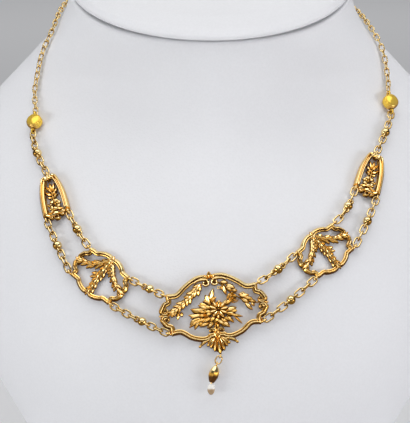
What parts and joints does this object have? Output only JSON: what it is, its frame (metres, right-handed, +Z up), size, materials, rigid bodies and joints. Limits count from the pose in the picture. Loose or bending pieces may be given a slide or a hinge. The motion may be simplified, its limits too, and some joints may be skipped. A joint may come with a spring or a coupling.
{
  "type": "draped necklace on a neck bust",
  "caption": "Festoon necklace of openwork plaques joined by fine link chains with polished balls, a pearl drop in front, draped round a plain white neck display bust with a padded cap",
  "frame": {"origin": "on the underside of the bust's foot, below the middle of the neck", "axes": "+Z up the neck, -Y to the front of the chest, +X to the viewer's right as seen from the front"},
  "size_m": [0.1862, 0.1529, 0.2469],
  "materials": {
    "white_leatherette": "fine matte grain, slightly cool white",
    "satin_gold": "cast yellow gold, satin with polished high points and dark recesses",
    "polished_gold": "polished pale yellow gold",
    "pearl": "creamy white pearl lustre"
  },
  "bodies": {
    "root": {"bust": "white_leatherette", "neck_cap": "white_leatherette", "center_plaque": "satin_gold", "mid_plaque_left": "satin_gold", "mid_plaque_right": "satin_gold", "upper_plaque_left": "satin_gold", "upper_plaque_right": "satin_gold", "button_left": "polished_gold", "button_right": "polished_gold", "back_chain_left": "polished_gold", "back_chain_right": "polished_gold", "clasp": "polished_gold", "shoulder_links_left": "polished_gold", "shoulder_ball_left": "polished_gold", "shoulder_links_right": "polished_gold", "shoulder_ball_right": "polished_gold", "inner_links_left": "polished_gold", "inner_ball_left": "polished_gold", "inner_links_right": "polished_gold", "inner_ball_right": "polished_gold", "outer_links_left": "polished_gold", "outer_ball_left": "polished_gold", "outer_links_right": "polished_gold", "outer_ball_right": "polished_gold", "top_links_left": "polished_gold", "top_ball_left": "polished_gold", "top_links_right": "polished_gold", "top_ball_right": "polished_gold", "low_links_left": "polished_gold", "low_ball_left": "polished_gold", "low_links_right": "polished_gold", "low_ball_right": "polished_gold", "drop_ring": "polished_gold", "drop_cap": "satin_gold", "pearl": "pearl"}
  },
  "joints": []
}
